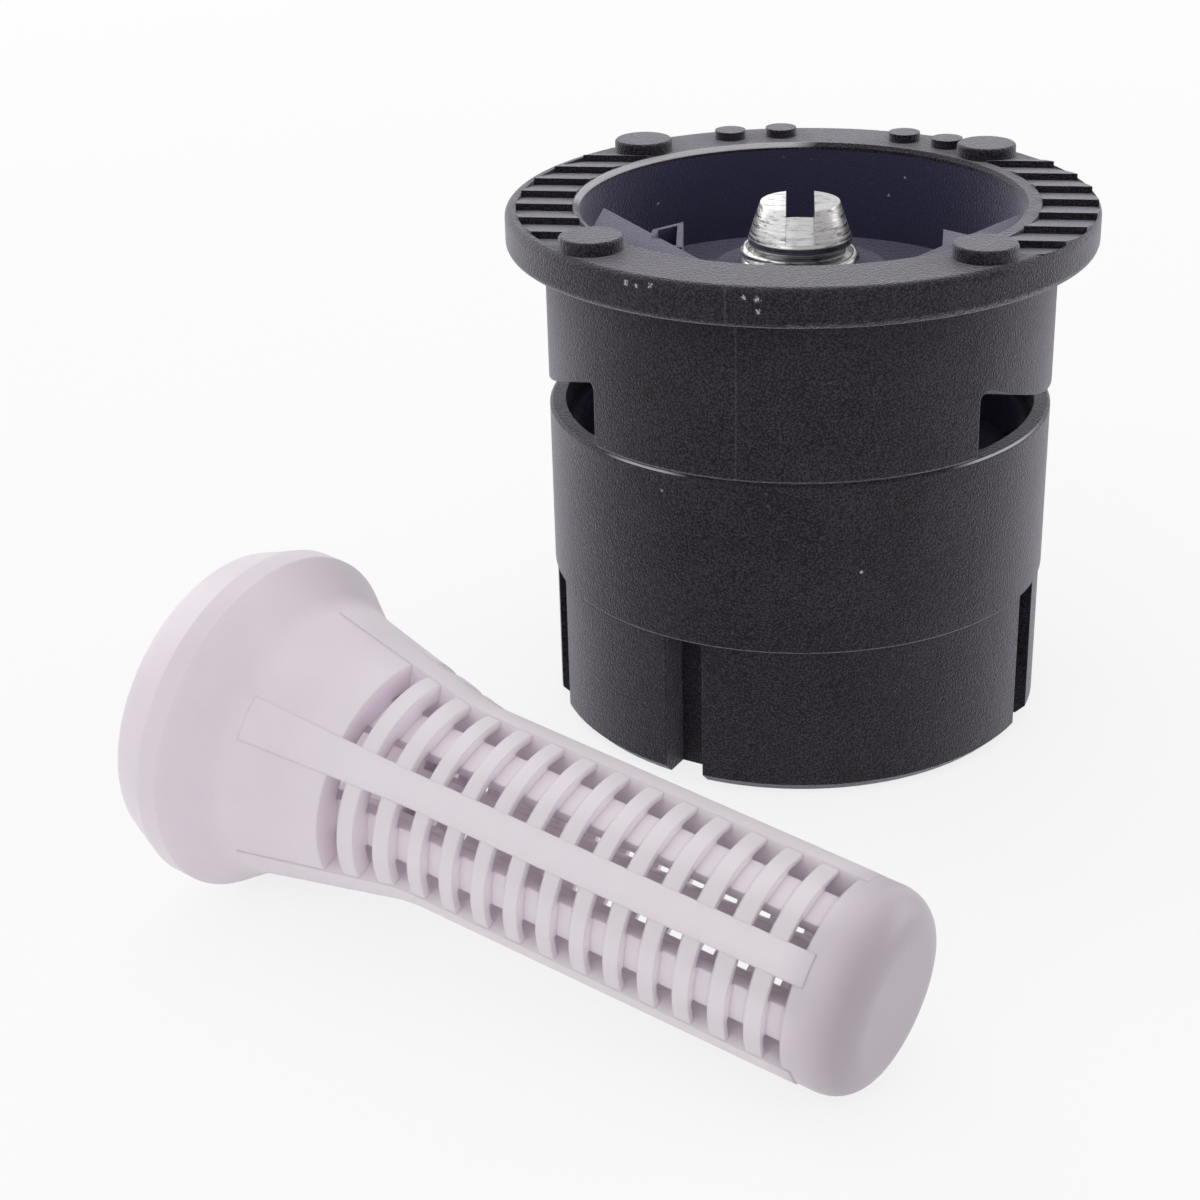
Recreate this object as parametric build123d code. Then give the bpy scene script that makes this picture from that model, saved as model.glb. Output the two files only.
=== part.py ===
# Pop-up sprinkler spray nozzle: flanged collar, threaded base, adjusting screw and basket filter screen.
# Millimetres. +Z is up along the nozzle's axis, z = 0 is the mouth of the riser thread, and the two side
# windows look along -X and +X. The filter screen lies beside the nozzle on the same surface.
import os
from math import atan2, cos, degrees, radians, sin

from build123d import *

# Nozzle, outside
flange_dia = 23.0
flange_reach = 1.5
flange_thick = 1.5
flange_edge = 0.3
collar_height = 7.9
base_height = 13.0
seam_bevel = 0.12

# Cup and windows of the collar
wall_thick = 1.4
cup_depth = 4.0
floor_thick = 1.0
bore_edge = 0.15
window_width = 13.9
window_sag = 1.95
window_corner = 0.35
hub_dia = 6.8
hub_rise = 1.3
deflector_round = 1.6
web_thick = 1.4

# Cheeks that thicken the cup's front wall beside the screw; left and right differ
cheek_drop = 0.35
left_cheek_turn = 55.4
left_cheek_depth = 2.0
left_cheek_side = 7.65
right_cheek_turn = 57.0
right_cheek_depth = 1.3
left_post = ((-5.45, -2.55), (-4.4, -1.45), (-4.05, -4.8), (-5.45, -4.8))
post_rim = 0.22
post_sink = 1.6
right_post = ((5.57, -2.65), (6.5, -3.35), (7.2, -6.0), (5.57, -6.6))
post_drop = 0.6

# Grip: saw teeth across the flange, steep towards the front, then bosses and pips
grip_pitch = 1.87
grip_count = 7
grip_start = 0.15
grip_shift = 0.2
grip_lead = 1.3
grip_tail = 0.55
grip_depth = 0.18
tooth_height = 0.1
grip_margin = 0.25
grip_edge = 0.12
grip_inner_gap = 0.45
boss_gap = 0.1
boss_dia = 2.4
boss_height = 0.5
boss_edge = 0.12
boss_turns = (45, 135, 225, 315)
pip_dia = 1.3
pip_height = 0.35
pip_turns = (57, 68.5, 99, 111.5)

# Base
base_bore_gap = 0.3
ledge_bevel = 0.06
band_height = 6.1
band_step = 0.08
foot_bevel = 0.4
spigot_thick = 0.76
spigot_depth = 1.0
seat_gap = 0.05
pocket_depth = 1.8
deck_thick = 1.2
riser_bore_dia = 14.9
riser_depth = 6.6
riser_lead = 0.5
chamber_height = 0.9
jet_dia = 2.2
jet_place = 4.6
groove_turns = (71.5, 110.0, 158.5, 251.5, 290.0, 338.5)
groove_width = 1.6
groove_share = 0.55

# Adjusting screw
screw_dia = 4.4
screw_sink = 0.1
screw_gap = 0.04
head_top_dia = 3.1
head_dia = 4.04
head_height = 1.6
neck_dia = 3.6
neck_length = 0.35
slot_width = 1.1
slot_depth = 1.2
slot_turn = 4.5
tip_dia = 1.6
tip_height = 1.4
tip_reach = 0.4

# Filter screen
screen_length = 27.5
rim_dia = 12.5
rim_width = 0.8
rim_back_dia = 11.3
rim_back = 1.5
neck_start_dia = 10.2
neck_start = 3.9
neck_round = 1.6
tube_start = 10.5
tube_dia = 7.24
tip_tube_dia = 6.96
mouth_dia = 9.8
funnel_depth = 6.5
inner_dia = 5.1
end_round = 1.3
end_wall = 1.2
rib_count = 5
rib_width = 1.14
rib_raise = 0.05
ring_count = 14
ring_pitch = 1.3
ring_width = 0.5
ring_slope = 0.26
ring_first = 7.74
ring_floor_dia = 6.4
channel_width = 0.85
channel_bite = 0.1
screen_fit_gap = 0.1

# Where the screen lies: centre of its mouth seen from above, its direction and the turn of its first rib
screen_x = -19.39
screen_y = -16.45
screen_heading = -25.2
rib_turn = 53.3

flange_r = flange_dia / 2
body_r = flange_r - flange_reach
bore_r = body_r - wall_thick
base_bore_r = bore_r + base_bore_gap
seam_z = base_height
flange_top = seam_z + collar_height
cup_floor = flange_top - cup_depth
window_top = cup_floor - floor_thick
spigot_r = bore_r + spigot_thick
ledge_z = seam_z - spigot_depth
deck_top = ledge_z - pocket_depth
deck_bottom = deck_top - deck_thick
seat_top = deck_bottom - chamber_height
screw_top = flange_top - screw_sink
seat_r = rim_dia / 2 + screen_fit_gap


def turned(points, rounds=()):
    """Solid of revolution about Z from (radius, height) points; rounds holds (corner number, radius)."""
    section = make_face(Polyline(*points, close=True))
    for index, size in rounds:
        corner = section.vertices().sort_by_distance(Vector(*points[index]))[0]
        section = fillet([corner], size)
    return revolve(Plane.XZ * section, Axis.Z)


def upright(sketch, bottom, top):
    """Prism on a flat outline, from one height to another."""
    return Pos(0, 0, bottom) * extrude(sketch, amount=top - bottom)


def sector(inner_r, outer_r, middle, span):
    """Flat ring sector, middle and span in degrees."""
    start = middle - span / 2
    first, last = radians(start), radians(start + span)
    outline = (
        CenterArc((0, 0), outer_r, start, span)
        + Line((outer_r * cos(last), outer_r * sin(last)), (inner_r * cos(last), inner_r * sin(last)))
        + CenterArc((0, 0), inner_r, start, span)
        + Line((inner_r * cos(first), inner_r * sin(first)), (outer_r * cos(first), outer_r * sin(first)))
    )
    return make_face(outline)


def around(radius, turn, height=0.0):
    return Pos(radius * cos(radians(turn)), radius * sin(radians(turn)), height)


def make_collar():
    ring_mid = (flange_r + bore_r) / 2
    # Flange and skirt, with the spigot that enters the base
    shell = turned(
        [
            (bore_r, ledge_z + seat_gap),
            (bore_r, flange_top - bore_edge),
            (bore_r + bore_edge, flange_top),
            (flange_r, flange_top),
            (flange_r, flange_top - flange_thick),
            (body_r, flange_top - flange_thick),
            (body_r, seam_z + seam_bevel),
            (body_r - seam_bevel, seam_z),
            (spigot_r - seat_gap, seam_z),
            (spigot_r - seat_gap, ledge_z + seat_gap),
        ],
        rounds=[(3, flange_edge), (4, flange_edge), (5, flange_edge / 2)],
    )
    # Straight-pull windows, open at the seam; their upper edge sags towards the middle
    side_y = window_width / 2
    outline = Polyline((-side_y, window_top), (-side_y, ledge_z), (side_y, ledge_z), (side_y, window_top))
    sag = ThreePointArc((side_y, window_top), (0, window_top - window_sag), (-side_y, window_top))
    opening = make_face(outline + sag)
    opening = fillet(opening.vertices().sort_by(Axis.Y)[-2:], window_corner)
    shell -= Pos(-flange_dia, 0, 0) * extrude(Plane.YZ * opening, amount=2 * flange_dia)

    # Cup floor with the hub; its curved underside turns the jets out through the windows
    core = turned(
        [
            (screw_dia / 2 + screw_gap, deck_top + seat_gap),
            (screw_dia / 2 + screw_gap, cup_floor + hub_rise),
            (hub_dia / 2, cup_floor + hub_rise),
            (hub_dia / 2, cup_floor),
            (bore_r + spigot_thick / 2, cup_floor),
            (bore_r + spigot_thick / 2, window_top - window_sag / 2),
            (hub_dia / 2, window_top),
            (hub_dia / 2, deck_top + seat_gap),
        ],
        rounds=[(6, deflector_round)],
    )
    # Two webs tie the hub to the front and back walls and part the two jets
    web_reach = bore_r + spigot_thick / 2 - hub_dia / 4
    web_height = window_top - seam_z + floor_thick / 2
    web = Box(web_thick, web_reach, web_height, align=(Align.CENTER, Align.MIN, Align.MIN))
    for side in (1, -1):
        core += Rot(0, 0, 90 - 90 * side) * (Pos(0, hub_dia / 4, seam_z) * web)
    core -= Pos(0, 0, deck_top) * Cylinder(
        screw_dia / 2 + screw_gap, flange_top, align=(Align.CENTER, Align.CENTER, Align.MIN)
    )
    collar = shell + core

    # Cheeks and posts stand on the cup floor against the front wall
    cup = upright(Circle(bore_r + spigot_thick / 2), cup_floor - floor_thick / 2, flange_top - cheek_drop)
    slab = Box(flange_dia, flange_dia, flange_top, align=(Align.MIN, Align.CENTER, Align.MIN))
    left_cheek = Rot(0, 0, -90 - left_cheek_turn) * (Pos(bore_r - left_cheek_depth, 0, 0) * slab)
    left_cheek &= cup & (Pos(-left_cheek_side, 0, 0) * slab)
    right_cheek = Rot(0, 0, -90 + right_cheek_turn) * (Pos(bore_r - right_cheek_depth, 0, 0) * slab)
    right_cheek &= cup
    collar += [left_cheek, right_cheek]
    post_top = flange_top - post_drop
    block = make_face(Polyline(*right_post, close=True))
    collar += cup & upright(block, cup_floor - floor_thick / 2, flange_top)
    post = make_face(Polyline(*left_post, close=True))
    collar += cup & upright(post, cup_floor - floor_thick / 2, post_top)
    collar -= upright(offset(post, -post_rim, kind=Kind.INTERSECTION), post_top - post_sink, flange_top)

    # Grip on either side of the flange, kept clear of the bosses
    grip_ring = Circle(flange_r - grip_margin) - Circle(bore_r + grip_inner_gap)
    grip_ring = (Pos(grip_shift, 0) * grip_ring) & Circle(flange_r - grip_edge)
    for turn in boss_turns:
        grip_ring -= around(ring_mid, turn) * Circle(boss_dia / 2 + boss_gap)
    first = grip_start - (grip_count - 1) / 2 * grip_pitch
    last = first + (grip_count - 1) * grip_pitch
    strip = Pos(0, (first - grip_lead + last + grip_tail) / 2)
    strip *= Rectangle(2 * flange_dia, last - first + grip_lead + grip_tail)
    low, high = flange_top - grip_depth, flange_top + tooth_height
    grip_zone = upright(grip_ring & strip, flange_top - flange_thick / 2, high)
    profile = [(first - grip_lead, flange_top), (first, low)]
    for index in range(grip_count - 1):
        profile += [(first + index * grip_pitch, high), (first + (index + 1) * grip_pitch, low)]
    profile += [(last, high), (last + grip_tail, high + (low - high) * grip_tail / grip_pitch)]
    above = [(last + grip_tail, flange_top + flange_thick), (first - grip_lead, flange_top + flange_thick)]
    sky = extrude(Plane.YZ * make_face(Polyline(*profile, *above, close=True)), amount=2 * flange_dia)
    collar = (collar - grip_zone) + (grip_zone - Pos(-flange_dia, 0, 0) * sky)

    # Bosses and plain pips
    on_foot = (Align.CENTER, Align.CENTER, Align.MIN)
    boss = Cylinder(boss_dia / 2, boss_height + flange_thick / 2, align=on_foot)
    boss = fillet(boss.edges().sort_by(Axis.Z)[-1:], boss_edge)
    pip = Cylinder(pip_dia / 2, pip_height + flange_thick / 2, align=on_foot)
    for turn in boss_turns:
        collar += around(ring_mid, turn, flange_top - flange_thick / 2) * boss
    for turn in pip_turns:
        collar += around(ring_mid, turn, flange_top - flange_thick / 2) * pip
    return collar


def make_base():
    base = turned(
        [
            (riser_bore_dia / 2 + riser_lead, 0),
            (riser_bore_dia / 2, riser_lead),
            (riser_bore_dia / 2, riser_depth),
            (seat_r, riser_depth),
            (seat_r, seat_top),
            (jet_place + 0.6 * jet_dia, seat_top),
            (jet_place + 0.6 * jet_dia, deck_bottom),
            (screw_dia / 2 + 3 * screw_gap, deck_bottom),
            (screw_dia / 2 + 3 * screw_gap, deck_top),
            (base_bore_r, deck_top),
            (base_bore_r, ledge_z - ledge_bevel),
            (base_bore_r + ledge_bevel, ledge_z),
            (spigot_r, ledge_z),
            (spigot_r, seam_z),
            (body_r - seam_bevel, seam_z),
            (body_r, seam_z - seam_bevel),
            (body_r, band_height + band_step),
            (body_r - band_step, band_height),
            (body_r - band_step, foot_bevel),
            (body_r - band_step - foot_bevel, 0),
        ]
    )
    jet = Cylinder(jet_dia / 2, 2 * deck_thick)
    for side in (-1, 1):
        base -= Pos(side * jet_place, 0, deck_bottom + deck_thick / 2) * jet
    # Tool grooves in the lower band, open at the foot
    groove_depth = groove_share * (body_r - riser_bore_dia / 2)
    groove = Box(2 * groove_depth, groove_width, 2 * band_height)
    for turn in groove_turns:
        base -= Rot(0, 0, turn - 90) * (Pos(body_r - band_step, 0, 0) * groove)
    return base


def make_screw():
    hub_top = cup_floor + hub_rise
    thread_top = screw_top - head_height - neck_length
    tip_z = seat_top - tip_reach
    screw = turned(
        [
            (0, tip_z),
            (tip_dia / 2, tip_z),
            (screw_dia / 2, tip_z + tip_height),
            (screw_dia / 2, thread_top - (screw_dia - neck_dia) / 4),
            (neck_dia / 2, thread_top),
            (neck_dia / 2, thread_top + neck_length / 2),
            (head_dia / 2, screw_top - head_height),
            (head_dia / 2, screw_top - 0.85 * head_height),
            (head_top_dia / 2, screw_top),
            (0, screw_top),
        ]
    )
    slot = Box(slot_width, 2 * head_dia, 2 * slot_depth)
    return screw - Pos(0, 0, screw_top) * (Rot(0, 0, slot_turn) * slot)


def make_screen():
    """Basket screen, mouth at z = 0, closed end up; outer rings cross channels cut from inside."""
    screen = turned(
        [
            (0, screen_length),
            (tip_tube_dia / 2, screen_length),
            (tube_dia / 2, tube_start),
            (neck_start_dia / 2, neck_start),
            (rim_dia / 2, rim_back + rim_width),
            (rim_dia / 2, rim_back),
            (rim_back_dia / 2, 0),
            (mouth_dia / 2, 0),
            (inner_dia / 2, funnel_depth),
            (inner_dia / 2, screen_length - end_wall),
            (0, screen_length - end_wall),
        ],
        rounds=[(1, end_round), (2, 4 * end_round), (3, neck_round)],
    )
    floor_r = ring_floor_dia / 2
    outer_r = neck_start_dia / 2
    tube_r = tube_dia / 2
    bay = 360 / rib_count
    ring_span = bay - degrees(rib_width / tube_r)
    channel_span = degrees(channel_width / floor_r)
    ring_last = ring_first + (ring_count - 1) * ring_pitch
    # Ribs stand a little proud of the rings
    rib_shell = turned(
        [
            (0, neck_start),
            (outer_r + rib_raise, neck_start),
            (tube_r + rib_raise, tube_start),
            (tip_tube_dia / 2 + rib_raise, screen_length),
            (0, screen_length),
        ],
        rounds=[(2, 4 * end_round)],
    )
    for rib in range(rib_count):
        rib_bar = upright(sector(inner_dia / 2 + rib_raise, 2 * outer_r, rib * bay, bay - ring_span),
                          neck_start + ring_width, ring_last + 2 * ring_width)
        screen += rib_shell & rib_bar
    # Each bay between two ribs has its ring grooves and two channels, one against either rib
    channel = sector(inner_dia / 4, floor_r + channel_bite, 0, channel_span)
    channel_cut = upright(channel, ring_first - ring_width, ring_last + 2 * ring_width)
    channel_turn = (ring_span - channel_span) / 2
    cuts = []
    for index in range(ring_count):
        # One wall of a ring groove is square, the one towards the closed end leans back
        near, far = ring_first + index * ring_pitch, ring_first + index * ring_pitch + ring_width
        rise = max(tube_r, tube_r + (outer_r - tube_r) * (tube_start - near) / (tube_start - neck_start))
        top = far + ring_slope
        section = [(floor_r, near), (outer_r, near), (outer_r, top), (rise, top), (floor_r, far)]
        groove = revolve(Plane.XZ * make_face(Polyline(*section, close=True)), Axis.Z, ring_span)
        for rib in range(rib_count):
            cuts.append(Rot(0, 0, rib * bay + (bay - ring_span) / 2) * groove)
    for rib in range(rib_count):
        for side in (-1, 1):
            cuts.append(Rot(0, 0, (rib + 0.5) * bay + side * channel_turn) * channel_cut)
    return screen - cuts


def lay_down(screen):
    """The screen as it rests: rim and closed end touch the surface, first rib turned up to the front."""
    rim_s = rim_back + rim_width
    end_s = screen_length - end_round
    tilt = degrees(atan2((rim_dia - tip_tube_dia) / 2, end_s - rim_s))
    height = rim_s * sin(radians(tilt)) + rim_dia / 2 * cos(radians(tilt))
    spot = Pos(screen_x, screen_y, height)
    return spot * Rot(0, 0, screen_heading) * Rot(0, 90 + tilt, 0) * Rot(0, 0, 180 + rib_turn) * screen


os.makedirs("parts", exist_ok=True)
pieces = {
    "nozzle_collar": make_collar(),
    "nozzle_base": make_base(),
    "adjusting_screw": make_screw(),
    "filter_screen": lay_down(make_screen()),
}
for node, piece in pieces.items():
    solids = piece.solids()
    print(node, "solids", len(solids), "volume", round(piece.volume, 2), "faces", len(piece.faces()))
    export_step(solids[0] if len(solids) == 1 else piece, f"parts/{node}.step")
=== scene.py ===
# Pop-up sprinkler nozzle with its basket filter screen: looks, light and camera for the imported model
import math

import bmesh
import bpy
import numpy as np
from mathutils import Matrix, Vector


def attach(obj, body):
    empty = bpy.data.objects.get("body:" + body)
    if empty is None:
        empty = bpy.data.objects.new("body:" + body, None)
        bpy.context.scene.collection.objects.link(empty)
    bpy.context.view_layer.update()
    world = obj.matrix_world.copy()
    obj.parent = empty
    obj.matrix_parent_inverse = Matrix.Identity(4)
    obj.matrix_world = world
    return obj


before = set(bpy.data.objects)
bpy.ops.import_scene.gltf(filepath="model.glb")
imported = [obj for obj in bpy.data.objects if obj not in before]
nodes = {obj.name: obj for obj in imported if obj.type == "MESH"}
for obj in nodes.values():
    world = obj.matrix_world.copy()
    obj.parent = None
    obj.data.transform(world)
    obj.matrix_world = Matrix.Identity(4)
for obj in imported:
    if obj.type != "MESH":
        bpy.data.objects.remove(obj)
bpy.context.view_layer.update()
mm = 0.001
weldGap = 1e-7          # m, the points of a pole lie closer than this
noiseSpan = (0.3, 0.7)  # nearly all of a noise lies between these
bevelSamples = 4
print("frame loaded:", ", ".join(sorted(nodes)))


# Small helpers

def linearColour(hexText):
    # sRGB hex to the linear RGBA that the shaders take
    channel = np.array([int(hexText[i:i + 2], 16) for i in (1, 3, 5)]) / 255
    linear = np.where(channel <= 0.04045, channel / 12.92, ((channel + 0.055) / 1.055) ** 2.4)
    return (*linear.tolist(), 1.0)


def addNode(tree, kind, settings=None, links=None):
    # One node: settings go to its properties or its sockets, links are {socket: another node's output}
    node = tree.nodes.new("ShaderNode" + kind)
    for key, value in (settings or {}).items():
        if isinstance(key, str) and hasattr(node, key):
            setattr(node, key, value)
        else:
            node.inputs[key].default_value = value
    for key, output in (links or {}).items():
        tree.links.new(output, node.inputs[key])
    return node


def newMaterial(name):
    # A named material and its emptied node tree
    material = bpy.data.materials.new(name)
    material.use_nodes = True
    material.node_tree.nodes.clear()
    return material, material.node_tree


def giveMaterial(thing, material):
    # Every slot of a mesh takes the same material
    if not thing.data.materials:
        thing.data.materials.append(material)
    for index in range(len(thing.data.materials)):
        thing.data.materials[index] = material


def gridSurface(name, x, y, z):
    # A surface from three arrays over (u, v), closed round v: point (i, j) makes a face with (i+1, j),
    # (i+1, j+1) and (i, j+1), and the last j joins the first
    countU, countV = x.shape
    index = np.arange(countU * countV).reshape(countU, countV)
    index = np.hstack([index, index[:, :1]])
    quads = np.stack([index[:-1, :-1], index[1:, :-1], index[1:, 1:], index[:-1, 1:]], -1).reshape(-1, 4)
    mesh = bpy.data.meshes.new(name)
    mesh.from_pydata(np.stack([x, y, z], -1).reshape(-1, 3).tolist(), [], quads.tolist())
    shell = bmesh.new()
    shell.from_mesh(mesh)
    bmesh.ops.remove_doubles(shell, verts=shell.verts, dist=weldGap)  # closes the poles
    bmesh.ops.recalc_face_normals(shell, faces=shell.faces)
    shell.to_mesh(mesh)
    shell.free()
    mesh.polygons.foreach_set("use_smooth", np.full(len(mesh.polygons), True))
    mesh.update()
    thing = bpy.data.objects.new(name, mesh)
    bpy.context.scene.collection.objects.link(thing)
    return thing


def helixRidge(name, spec):
    # A closed profile (radius, height) carried round Z: it climbs one pitch a turn, and shrinks
    # to nothing at both ends, where the thread runs out
    turns = (spec["top"] - spec["bottom"]) / spec["pitch"]
    u = np.linspace(0, turns, int(turns * spec["steps"]))[:, None]
    profile = np.array(spec["profile"])
    runOut = np.clip(np.minimum(u, turns - u) / spec["runOut"], 0, 1)
    radius = (spec["wall"] + runOut * profile[None, :, 0]) * mm
    height = (spec["bottom"] + u * spec["pitch"] + runOut * profile[None, :, 1]) * mm
    angle = 2 * math.pi * u + math.radians(spec["start"])
    return gridSurface(name, radius * np.cos(angle), radius * np.sin(angle), height)


# Camera: a 69 mm lens close to the nozzle, a little to its right and above

camera = {
    "lens": 69.0,                       # mm
    "sensor": 36.0,                     # mm
    "place": (6.270, -87.459, 45.257),  # mm
    "elevation": 25.35,                 # degrees that the view line dips
    "heading": 9.48,                    # degrees, the view line against the nozzle
    "roll": 1.64,                       # degrees
    "clip": (2.0, 20000.0),             # mm
}

elevation, heading, roll = (math.radians(camera[key]) for key in ("elevation", "heading", "roll"))
ahead = Vector((0, math.cos(elevation), -math.sin(elevation)))
level = Vector((1, 0, 0))
down = Vector((0, -math.sin(elevation), -math.cos(elevation)))
right = math.cos(roll) * level + math.sin(roll) * down
upward = math.sin(roll) * level - math.cos(roll) * down
turnBack = Matrix.Rotation(heading, 3, "Z")
right, upward, ahead = turnBack @ right, turnBack @ upward, turnBack @ ahead
cameraData = bpy.data.cameras.new("camera")
cameraData.lens, cameraData.sensor_width = camera["lens"], camera["sensor"]
cameraData.clip_start, cameraData.clip_end = (edge * mm for edge in camera["clip"])
cameraObject = bpy.data.objects.new("camera", cameraData)
bpy.context.scene.collection.objects.link(cameraObject)
cameraObject.matrix_world = Matrix.Translation(Vector(camera["place"]) * mm) @ Matrix(
    (right, upward, -ahead)).transposed().to_4x4()
bpy.context.scene.camera = cameraObject
print("camera set")


# Light: a pale surround, one wide lamp overhead, one in front, one behind and one on either side

light = {
    "surround": 0.54,  # 1 = white
    "lamps": {         # place in mm, size in mm, brightness of the face (1 = white)
        "lamp_top": ((-60, 120, 420), 420, 0.6),
        "lamp_front": ((-220, -380, 330), 320, 0.9),
        "lamp_back": ((-80, 470, 230), 380, 0.3),
        "lamp_left": ((-340, 230, 85), 260, 1.5),
        "lamp_right": ((390, 190, 75), 290, 2.0),
    },
}

for name, (place, size, brightness) in light["lamps"].items():
    lamp = bpy.data.lights.new(name, "AREA")
    lamp.shape, lamp.size = "SQUARE", size * mm
    lamp.energy = brightness * math.pi * (size * mm) ** 2  # W, for a face of that brightness
    lampObject = bpy.data.objects.new(name, lamp)
    lampObject.location = Vector(place) * mm
    lampObject.rotation_euler = (-Vector(place)).to_track_quat("-Z", "Y").to_euler()
    lampObject.visible_camera = False
    bpy.context.scene.collection.objects.link(lampObject)


def seenRays(tree):
    # 1 for rays from the eye or from a glossy face, which both show the backdrop
    path = addNode(tree, "LightPath")
    return addNode(tree, "Math", {"operation": "MAXIMUM"},
                   {0: path.outputs["Is Camera Ray"], 1: path.outputs["Is Glossy Ray"]}).outputs[0]


world = bpy.data.worlds.new("surround")
bpy.context.scene.world = world
world.use_nodes = True
tree = world.node_tree
tree.nodes.clear()
dim = addNode(tree, "Background", {"Color": (1, 1, 1, 1), "Strength": light["surround"]})
white = addNode(tree, "Background", {"Color": (1, 1, 1, 1), "Strength": 1.0})
both = addNode(tree, "MixShader", links={0: seenRays(tree), 1: dim.outputs[0], 2: white.outputs[0]})
addNode(tree, "OutputWorld", links={0: both.outputs[0]})

# Floor: a paper disc, white where it is seen, with a share left that takes the shadow and fades out
# with the distance, so that no horizon shows
floorPaper = {
    "radius": 1500,     # mm
    "corners": 96,
    "shadowShare": 0.2,
    "fade": (70, 260),  # mm from the middle
    "colour": "#FFFFFF",
}

u, v = np.meshgrid([0, 1], np.linspace(0, 2 * math.pi, floorPaper["corners"], endpoint=False), indexing="ij")
floorReach = floorPaper["radius"] * mm * u
floor = gridSurface("floor", floorReach * np.cos(v), floorReach * np.sin(v), 0 * floorReach)
floorMaterial, tree = newMaterial("paper_floor")
where = addNode(tree, "TexCoord").outputs["Object"]
fromMiddle = addNode(tree, "VectorMath", {"operation": "LENGTH"}, {0: where})
fadeStart, fadeEnd = (edge * mm for edge in floorPaper["fade"])
keep = addNode(tree, "MapRange", {"From Min": fadeStart, "From Max": fadeEnd,
                                  "To Min": 1 - floorPaper["shadowShare"], "To Max": 1.0},
               {"Value": fromMiddle.outputs["Value"]})
share = addNode(tree, "Math", {"operation": "MULTIPLY"}, {0: keep.outputs[0], 1: seenRays(tree)})
paper = addNode(tree, "BsdfDiffuse", {"Color": linearColour(floorPaper["colour"])})
bare = addNode(tree, "Emission", {"Color": (1, 1, 1, 1), "Strength": 1.0})
both = addNode(tree, "MixShader", links={0: share.outputs[0], 1: paper.outputs[0], 2: bare.outputs[0]})
addNode(tree, "OutputMaterial", links={"Surface": both.outputs[0]})
giveMaterial(floor, floorMaterial)
print("light and floor set")


# Moulded black acetal of collar and base: near-black with a violet cast and a satin skin. The spark-eroded
# mould leaves a fine grain, and a film of dust pales it where it is seen edge-on. Inside it is more matt and
# painted paler and bluer for the light there, with painted shade on the cup's floor, and a painted highlight
# runs along one edge

blackAcetal = {
    "dark": "#030204",
    "pale": "#3A3342",
    "dust": "#8A8690",
    # pale colour of the nicks' wear and of the painted edge highlight
    "wearAndHighlight": "#D8D6DA",
    "grain": 0.075,            # mm, the mould's texture, coarser than the real one so that it shows
    "cloud": 2.6,              # mm, handling marks
    "cloudShare": 0.22,        # how much the marks add to the grain
    "toneSpan": (0.52, 0.76),  # of grain and marks, from dark to pale
    "specks": 0.28,            # mm, dust
    "dustSpan": (0.66, 0.80),
    "dustMost": 0.35,
    "partingSpan": (0.02, 0.05),  # mm beside the parting line, from its tone to none
    "partingMost": 0.10,
    "highlightMost": 0.9,
    "nickSpan": (1.1, 1.4),    # in nick sizes, from full to none
    "nickRagged": 1.8,         # in nick sizes, how far the grain breaks up the edge
    "nickMost": 0.7,
    "roughness": (0.30, 0.50),
    "insideRoughness": 0.70,
    "bump": 1.0,
    "bumpHeight": 0.05,        # mm
    "edge": 0.05,              # mm, rounding of the moulded edges
    "ior": 1.48,
    "specular": 0.2,
    "sheen": 1.0,
    "sheenRoughness": 0.36,
    "sheenTint": "#E6E2F0",
}

# What differs between the two mouldings: where the inside starts with its painted light and shade, the edge
# that carries a painted highlight, nicks and parting line
collarMarks = {
    "insideRadius": 8.63,         # mm
    "insideHeight": (0.0, 20.62),
    # painted light: a paler, bluer tone than the outside, for the dim light inside the cup
    "insidePaintedLight": "#3A3853",
    "lower": ((16.78, "#0C0B12"), (16.0, "#6E6A8A")),  # below this height: painted shade on the cup's floor, then painted light in the throats
    # painted highlight along the top edge of the bore
    "edgeRadius": (8.55, 8.80),
    "edgeHeight": 20.72,
    "edgeCentre": (7.6, -6.5, 0),
    "edgeAlong": (-0.76, 0.65, 0),
    "edgeSpan": (15.6, 16.4, 18.6, 19.4),  # mm along, to either side of the centre: none, full, full, none
    "partingTurn": -8.8,          # degrees from the front, where two mould halves met
    "partingFrom": 9.5,           # mm out from the axis
    "nicks": [                    # place in mm, size in mm
        ((-5.38, -10.16, 20.58), 0.20), ((-5.00, -10.36, 20.54), 0.14), ((-4.47, -10.60, 20.63), 0.20),
        ((-1.08, -11.45, 20.55), 0.14), ((-0.63, -11.48, 20.50), 0.22), ((-0.59, -11.48, 20.07), 0.17),
        ((3.16, 8.00, 18.85), 0.16), ((-6.36, 5.79, 18.96), 0.12), ((3.81, 7.71, 19.71), 0.10),
    ],
}
baseMarks = {
    "insideRadius": 9.1,
    "insideHeight": (8.0, 12.6),
    # painted light in the hollow that shows through the windows
    "insidePaintedLight": "#6E6A8A",
    "lower": (),
    # painted highlight along the outer top edge, at the seam
    "edgeRadius": (9.90, 10.2),
    "edgeHeight": 12.91,
    "edgeCentre": (1.45, 0, 0),
    "edgeAlong": (1, 0, 0),
    "edgeSpan": (4.8, 5.8, 7.3, 8.3),
    "partingTurn": None,
    "nicks": [((-4.4, -8.98, 12.2), 0.14), ((3.1, -9.51, 9.4), 0.14)],
}


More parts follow.
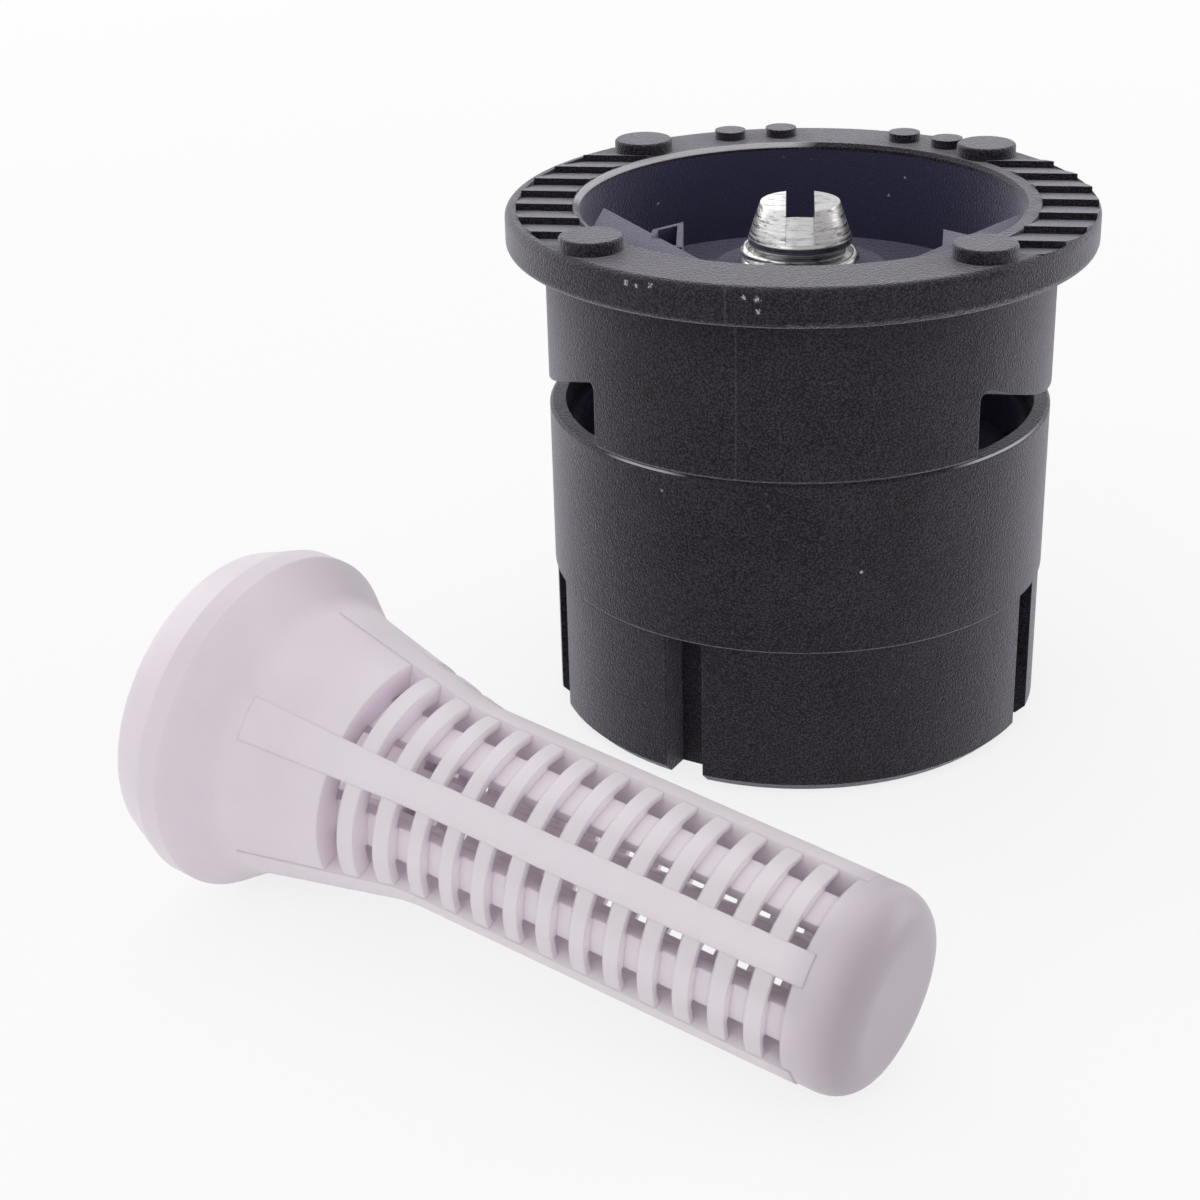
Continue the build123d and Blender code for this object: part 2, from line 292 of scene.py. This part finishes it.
def makeBlackAcetal(name, spec, marks):
    material, tree = newMaterial(name)
    where = addNode(tree, "TexCoord").outputs["Object"]
    apart = addNode(tree, "SeparateXYZ", links={0: where})
    height = apart.outputs[2]
    flat = addNode(tree, "CombineXYZ", links={0: apart.outputs[0], 1: apart.outputs[1]})
    fromAxis = addNode(tree, "VectorMath", {"operation": "LENGTH"}, {0: flat.outputs[0]}).outputs["Value"]
    cloud = addNode(tree, "TexNoise", {"Scale": 1 / (spec["cloud"] * mm), "Detail": 5.0, "Roughness": 0.65},
                    {"Vector": where})
    grain = addNode(tree, "TexNoise", {"Scale": 1 / (spec["grain"] * mm), "Detail": 1.0, "Roughness": 0.5},
                    {"Vector": where})
    specks = addNode(tree, "TexNoise", {"Scale": 1 / (spec["specks"] * mm), "Detail": 3.0, "Roughness": 0.7},
                     {"Vector": where})

    # Grain and handling marks together choose between the dark and the pale tone
    tone = addNode(tree, "Math", {"operation": "MULTIPLY_ADD", 1: spec["cloudShare"]},
                   {0: cloud.outputs["Fac"], 2: grain.outputs["Fac"]})
    tone = addNode(tree, "MapRange", {"From Min": spec["toneSpan"][0], "From Max": spec["toneSpan"][1]},
                   {"Value": tone.outputs[0]})
    body = addNode(tree, "MixRGB",
                   {"Color1": linearColour(spec["dark"]), "Color2": linearColour(spec["pale"])},
                   {"Fac": tone.outputs[0]})

    # Inside: nearer the axis than the given radius and between the two heights, painted in a paler, bluer
    # tone for the light there; further down the marks add painted shade on the cup's floor and painted light
    # in the throats
    bottom, top = (edge * mm for edge in marks["insideHeight"])
    inside = addNode(tree, "Math", {"operation": "LESS_THAN", 1: marks["insideRadius"] * mm}, {0: fromAxis})
    for operation, edge in (("LESS_THAN", top), ("GREATER_THAN", bottom)):
        passed = addNode(tree, "Math", {"operation": operation, 1: edge}, {0: height})
        inside = addNode(tree, "Math", {"operation": "MULTIPLY"},
                         {0: inside.outputs[0], 1: passed.outputs[0]})
    inside = inside.outputs[0]
    body = addNode(tree, "MixRGB", {"Color2": linearColour(marks["insidePaintedLight"])},
                   {"Fac": inside, "Color1": body.outputs[0]})
    for edge, lowerColour in marks["lower"]:
        under = addNode(tree, "Math", {"operation": "LESS_THAN", 1: edge * mm}, {0: height})
        lower = addNode(tree, "Math", {"operation": "MULTIPLY"}, {0: inside, 1: under.outputs[0]})
        body = addNode(tree, "MixRGB", {"Color2": linearColour(lowerColour)},
                       {"Fac": lower.outputs[0], "Color1": body.outputs[0]})

    # Dust, and the parting line: a narrow band beside a plane through the axis, on the front half only
    dusty = addNode(tree, "MapRange", {"From Min": spec["dustSpan"][0], "From Max": spec["dustSpan"][1],
                                       "To Min": 0.0, "To Max": spec["dustMost"]},
                    {"Value": specks.outputs["Fac"]}).outputs[0]
    if marks["partingTurn"] is not None:
        turn = math.radians(marks["partingTurn"] - 90)
        outward, sideways = (math.cos(turn), math.sin(turn), 0), (-math.sin(turn), math.cos(turn), 0)
        lineStart, lineEnd = (edge * mm for edge in spec["partingSpan"])
        across = addNode(tree, "VectorMath", {"operation": "DOT_PRODUCT", 1: sideways}, {0: where})
        aside = addNode(tree, "Math", {"operation": "ABSOLUTE"}, {0: across.outputs["Value"]})
        line = addNode(tree, "MapRange", {"From Min": lineStart, "From Max": lineEnd,
                                          "To Min": spec["partingMost"], "To Max": 0.0},
                       {"Value": aside.outputs[0]})
        front = addNode(tree, "VectorMath", {"operation": "DOT_PRODUCT", 1: outward}, {0: where})
        inFront = addNode(tree, "Math", {"operation": "GREATER_THAN", 1: marks["partingFrom"] * mm},
                          {0: front.outputs["Value"]})
        line = addNode(tree, "Math", {"operation": "MULTIPLY"}, {0: line.outputs[0], 1: inFront.outputs[0]})
        dusty = addNode(tree, "Math", {"operation": "MAXIMUM"}, {0: dusty, 1: line.outputs[0]}).outputs[0]
    colour = addNode(tree, "MixRGB", {"Color2": linearColour(spec["dust"])},
                     {"Fac": dusty, "Color1": body.outputs[0]})

    # Painted highlight on an edge: a narrow ring between two radii above a height, bright over a span along
    # one line
    inner, outer = (edge * mm for edge in marks["edgeRadius"])
    none, full, last, gone = (edge * mm for edge in marks["edgeSpan"])
    centre = tuple(mm * c for c in marks["edgeCentre"])
    ringIn = addNode(tree, "Math", {"operation": "GREATER_THAN", 1: inner}, {0: fromAxis})
    ringOut = addNode(tree, "Math", {"operation": "LESS_THAN", 1: outer}, {0: fromAxis})
    high = addNode(tree, "Math", {"operation": "GREATER_THAN", 1: marks["edgeHeight"] * mm}, {0: height})
    offCentre = addNode(tree, "VectorMath", {"operation": "SUBTRACT", 1: centre}, {0: where})
    along = addNode(tree, "VectorMath", {"operation": "DOT_PRODUCT", 1: marks["edgeAlong"]},
                    {0: offCentre.outputs[0]})
    side = addNode(tree, "Math", {"operation": "ABSOLUTE"}, {0: along.outputs["Value"]})
    edgeHighlight = addNode(tree, "MapRange", {"From Min": none, "From Max": full, "To Max": spec["highlightMost"]},
                     {"Value": side.outputs[0]})
    fading = addNode(tree, "MapRange", {"From Min": last, "From Max": gone, "To Min": 1.0, "To Max": 0.0},
                     {"Value": side.outputs[0]})
    for part in (ringIn, ringOut, high, fading):
        edgeHighlight = addNode(tree, "Math", {"operation": "MULTIPLY"}, {0: edgeHighlight.outputs[0], 1: part.outputs[0]})

    # Each nick is a small ball round its place, its edge broken up by the grain
    wearAndHighlight = edgeHighlight.outputs[0]
    for place, size in marks["nicks"]:
        nickStart, nickEnd = (edge * size * mm for edge in spec["nickSpan"])
        away = addNode(tree, "VectorMath", {"operation": "DISTANCE", 1: tuple(mm * c for c in place)},
                       {0: where})
        ragged = addNode(tree, "Math", {"operation": "MULTIPLY_ADD", 1: spec["nickRagged"] * size * mm},
                         {0: grain.outputs["Fac"], 2: away.outputs["Value"]})
        nick = addNode(tree, "MapRange", {"From Min": nickStart, "From Max": nickEnd,
                                          "To Min": spec["nickMost"], "To Max": 0.0},
                       {"Value": ragged.outputs[0]})
        wearAndHighlight = addNode(tree, "Math", {"operation": "MAXIMUM"}, {0: wearAndHighlight, 1: nick.outputs[0]}).outputs[0]
    # The real nicks and the painted edge highlight take the same pale colour
    colour = addNode(tree, "MixRGB", {"Color2": linearColour(spec["wearAndHighlight"])},
                     {"Fac": wearAndHighlight, "Color1": colour.outputs[0]})

    rough = addNode(tree, "MapRange", {"From Min": noiseSpan[0], "From Max": noiseSpan[1],
                                       "To Min": spec["roughness"][0], "To Max": spec["roughness"][1]},
                    {"Value": grain.outputs["Fac"]})
    rough = addNode(tree, "MixRGB", {"Color2": (spec["insideRoughness"],) * 3 + (1,)},
                    {"Fac": inside, "Color1": rough.outputs[0]})
    rounded = addNode(tree, "Bevel", {"samples": bevelSamples, "Radius": spec["edge"] * mm})
    bump = addNode(tree, "Bump", {"Strength": spec["bump"], "Distance": spec["bumpHeight"] * mm},
                   {"Height": grain.outputs["Fac"], "Normal": rounded.outputs[0]})
    shader = addNode(tree, "BsdfPrincipled",
                     {"IOR": spec["ior"], "Specular IOR Level": spec["specular"],
                      "Sheen Weight": spec["sheen"], "Sheen Roughness": spec["sheenRoughness"],
                      "Sheen Tint": linearColour(spec["sheenTint"])},
                     {"Base Color": colour.outputs[0], "Roughness": rough.outputs[0],
                      "Normal": bump.outputs[0]})
    addNode(tree, "OutputMaterial", links={"Surface": shader.outputs[0]})
    return material


giveMaterial(nodes["nozzle_collar"], makeBlackAcetal("black_acetal_collar", blackAcetal, collarMarks))
baseBlack = makeBlackAcetal("black_acetal_base", blackAcetal, baseMarks)
giveMaterial(nodes["nozzle_base"], baseBlack)

# The riser's thread in the base: ridges that stand in from the plain bore, all in mm
riserThread = {
    "wall": 7.45, "bottom": 0.75, "top": 6.3, "pitch": 0.94,
    "steps": 96, "runOut": 0.35, "start": 40,  # steps a turn, run-out in turns, degrees
    "profile": [(0.12, -0.44), (-0.02, -0.42), (-0.30, -0.07), (-0.30, 0.07), (-0.02, 0.42), (0.12, 0.44)],
}
riserRidge = helixRidge("riser_thread", riserThread)
giveMaterial(riserRidge, baseBlack)
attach(riserRidge, "root")
print("nozzle finished")


# Adjusting screw: turned stainless steel, with painted light on one side and painted shade on the other, the
# fine rings that the tool leaves, and streaks of painted dark reflection that lean across it

stainless = {
    # painted light on one side of the screw and painted shade on the other
    "bright": "#F8F7F6",
    "shadedSide": "#AEACAD",
    "shadedSideSpan": (-1.1, -0.1),       # mm across, from the painted light to the painted shade
    # painted dark reflections of the black surroundings, in streaks
    "shade": "#4C4A48",
    "darkReflection": 0.45,                  # mm
    "darkReflectionSpan": (0.50, 0.66),
    "darkReflectionMost": 0.85,
    "lean": 35,                     # degrees
    "leanScale": (0.5, 1, 3.2),     # draws the stains out along the lean
    "rings": 0.06,                  # mm
    "roughness": (0.20, 0.44),
    "bump": 0.3,
    "bumpHeight": 0.012,            # mm
    "edge": 0.05,                   # mm
}

screwSteel, tree = newMaterial("turned_stainless")
where = addNode(tree, "TexCoord").outputs["Object"]
apart = addNode(tree, "SeparateXYZ", links={0: where})
flat = addNode(tree, "CombineXYZ", links={0: apart.outputs[0], 1: apart.outputs[1]})
fromAxis = addNode(tree, "VectorMath", {"operation": "LENGTH"}, {0: flat.outputs[0]})
reach = addNode(tree, "Math", {"operation": "ADD"}, {0: fromAxis.outputs["Value"], 1: apart.outputs[2]})
turned = addNode(tree, "Math", {"operation": "MULTIPLY", 1: 1 / (stainless["rings"] * mm)},
                 {0: reach.outputs[0]})
rings = addNode(tree, "TexNoise", {"noise_dimensions": "1D", "Scale": 1.0, "Detail": 3.0},
                {"W": turned.outputs[0]})
# Streaks of painted dark reflection, drawn out along the lean
leaning = addNode(tree, "Mapping", {"Rotation": (0, math.radians(stainless["lean"]), 0),
                                    "Scale": stainless["leanScale"]}, {"Vector": where})
darkReflection = addNode(tree, "TexNoise", {"Scale": 1 / (stainless["darkReflection"] * mm), "Detail": 5.0, "Roughness": 0.7},
                {"Vector": leaning.outputs[0]})
reflectionMask = addNode(tree, "MapRange", {"From Min": stainless["darkReflectionSpan"][0],
                                     "From Max": stainless["darkReflectionSpan"][1],
                                     "To Max": stainless["darkReflectionMost"]}, {"Value": darkReflection.outputs["Fac"]})
# Painted light on one side and painted shade on the other, across the screw
shadedSideMask = addNode(tree, "MapRange", {"From Min": stainless["shadedSideSpan"][0] * mm,
                                    "From Max": stainless["shadedSideSpan"][1] * mm}, {"Value": apart.outputs[0]})
colour = addNode(tree, "MixRGB", {"Color1": linearColour(stainless["bright"]),
                                  "Color2": linearColour(stainless["shadedSide"])}, {"Fac": shadedSideMask.outputs[0]})
colour = addNode(tree, "MixRGB", {"Color2": linearColour(stainless["shade"])},
                 {"Fac": reflectionMask.outputs[0], "Color1": colour.outputs[0]})
rough = addNode(tree, "MapRange", {"From Min": noiseSpan[0], "From Max": noiseSpan[1],
                                   "To Min": stainless["roughness"][0], "To Max": stainless["roughness"][1]},
                {"Value": rings.outputs["Fac"]})
rounded = addNode(tree, "Bevel", {"samples": bevelSamples, "Radius": stainless["edge"] * mm})
bump = addNode(tree, "Bump", {"Strength": stainless["bump"], "Distance": stainless["bumpHeight"] * mm},
               {"Height": rings.outputs["Fac"], "Normal": rounded.outputs[0]})
shader = addNode(tree, "BsdfPrincipled", {"Metallic": 1.0},
                 {"Base Color": colour.outputs[0], "Roughness": rough.outputs[0], "Normal": bump.outputs[0]})
addNode(tree, "OutputMaterial", links={"Surface": shader.outputs[0]})
giveMaterial(nodes["adjusting_screw"], screwSteel)

# Its thread shows for two turns between the hub and the neck, all in mm
screwThread = {
    "wall": 2.2, "bottom": 18.0, "top": 18.95, "pitch": 0.5,
    "steps": 72, "runOut": 0.2, "start": -60,  # steps a turn, run-out in turns, degrees
    "profile": [(-0.1, -0.24), (0.0, -0.22), (0.13, -0.04), (0.13, 0.04), (0.0, 0.22), (-0.1, 0.24)],
}
screwRidge = helixRidge("screw_thread", screwThread)
giveMaterial(screwRidge, screwSteel)
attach(screwRidge, "screw")
print("screw finished")


# Filter screen: moulded natural polypropylene, milky white with a lavender cast. The basket is painted paler
# for the light that comes through its walls, and the heavier closed end is painted greyer, as painted shade

screenPlastic = {
    "warm": "#F5EBF3",
    "cool": "#ECE1EA",
    "cloud": 2.5,                     # mm, slow drift between the two
    "mouth": (-19.39, -16.45, 6.47),  # mm, the axis starts here
    "along": (0.8988, -0.4230, -0.1151),
    "litBasket": "#FBF0F9",
    "litBasketSpan": (6.0, 9.0),           # mm along the axis, where the painted light on the basket starts
    "shadedEnd": "#BFB4BE",
    "shadedEndSpan": (24.6, 27.0),        # mm along the axis, where the painted shade on the closed end starts
    "roughness": 0.40,
    "ior": 1.49,
    "milk": 0.4,
    "milkRadius": (1.0, 0.94, 1.0),
    "milkDepth": 1.2,                 # mm
    "grain": 0.22,                    # mm
    "bump": 0.15,
    "bumpHeight": 0.02,               # mm
    "edge": 0.10,                     # mm
}

screenMaterial, tree = newMaterial("natural_polypropylene")
where = addNode(tree, "TexCoord").outputs["Object"]
cloud = addNode(tree, "TexNoise", {"Scale": 1 / (screenPlastic["cloud"] * mm), "Detail": 4.0},
                {"Vector": where})
grain = addNode(tree, "TexNoise", {"Scale": 1 / (screenPlastic["grain"] * mm), "Detail": 2.0},
                {"Vector": where})
colour = addNode(tree, "MixRGB", {"Color1": linearColour(screenPlastic["cool"]),
                                  "Color2": linearColour(screenPlastic["warm"])},
                 {"Fac": cloud.outputs["Fac"]})
mouth = tuple(mm * c for c in screenPlastic["mouth"])
fromMouth = addNode(tree, "VectorMath", {"operation": "SUBTRACT", 1: mouth}, {0: where})
depth = addNode(tree, "VectorMath", {"operation": "DOT_PRODUCT", 1: screenPlastic["along"]},
                {0: fromMouth.outputs[0]})
# Painted light over the basket and painted shade over the closed end, by the distance along the axis
for wall in ("litBasket", "shadedEnd"):
    start, full = (edge * mm for edge in screenPlastic[wall + "Span"])
    reached = addNode(tree, "MapRange", {"From Min": start, "From Max": full},
                      {"Value": depth.outputs["Value"]})
    colour = addNode(tree, "MixRGB", {"Color2": linearColour(screenPlastic[wall])},
                     {"Fac": reached.outputs[0], "Color1": colour.outputs[0]})
rounded = addNode(tree, "Bevel", {"samples": bevelSamples, "Radius": screenPlastic["edge"] * mm})
bump = addNode(tree, "Bump",
               {"Strength": screenPlastic["bump"], "Distance": screenPlastic["bumpHeight"] * mm},
               {"Height": grain.outputs["Fac"], "Normal": rounded.outputs[0]})
shader = addNode(tree, "BsdfPrincipled",
                 {"IOR": screenPlastic["ior"], "Roughness": screenPlastic["roughness"],
                  "Subsurface Weight": screenPlastic["milk"],
                  "Subsurface Radius": screenPlastic["milkRadius"],
                  "Subsurface Scale": screenPlastic["milkDepth"] * mm},
                 {"Base Color": colour.outputs[0], "Normal": bump.outputs[0]})
addNode(tree, "OutputMaterial", links={"Surface": shader.outputs[0]})
giveMaterial(nodes["filter_screen"], screenMaterial)
print("screen finished")


bpy.context.scene.view_settings.view_transform = "Standard"
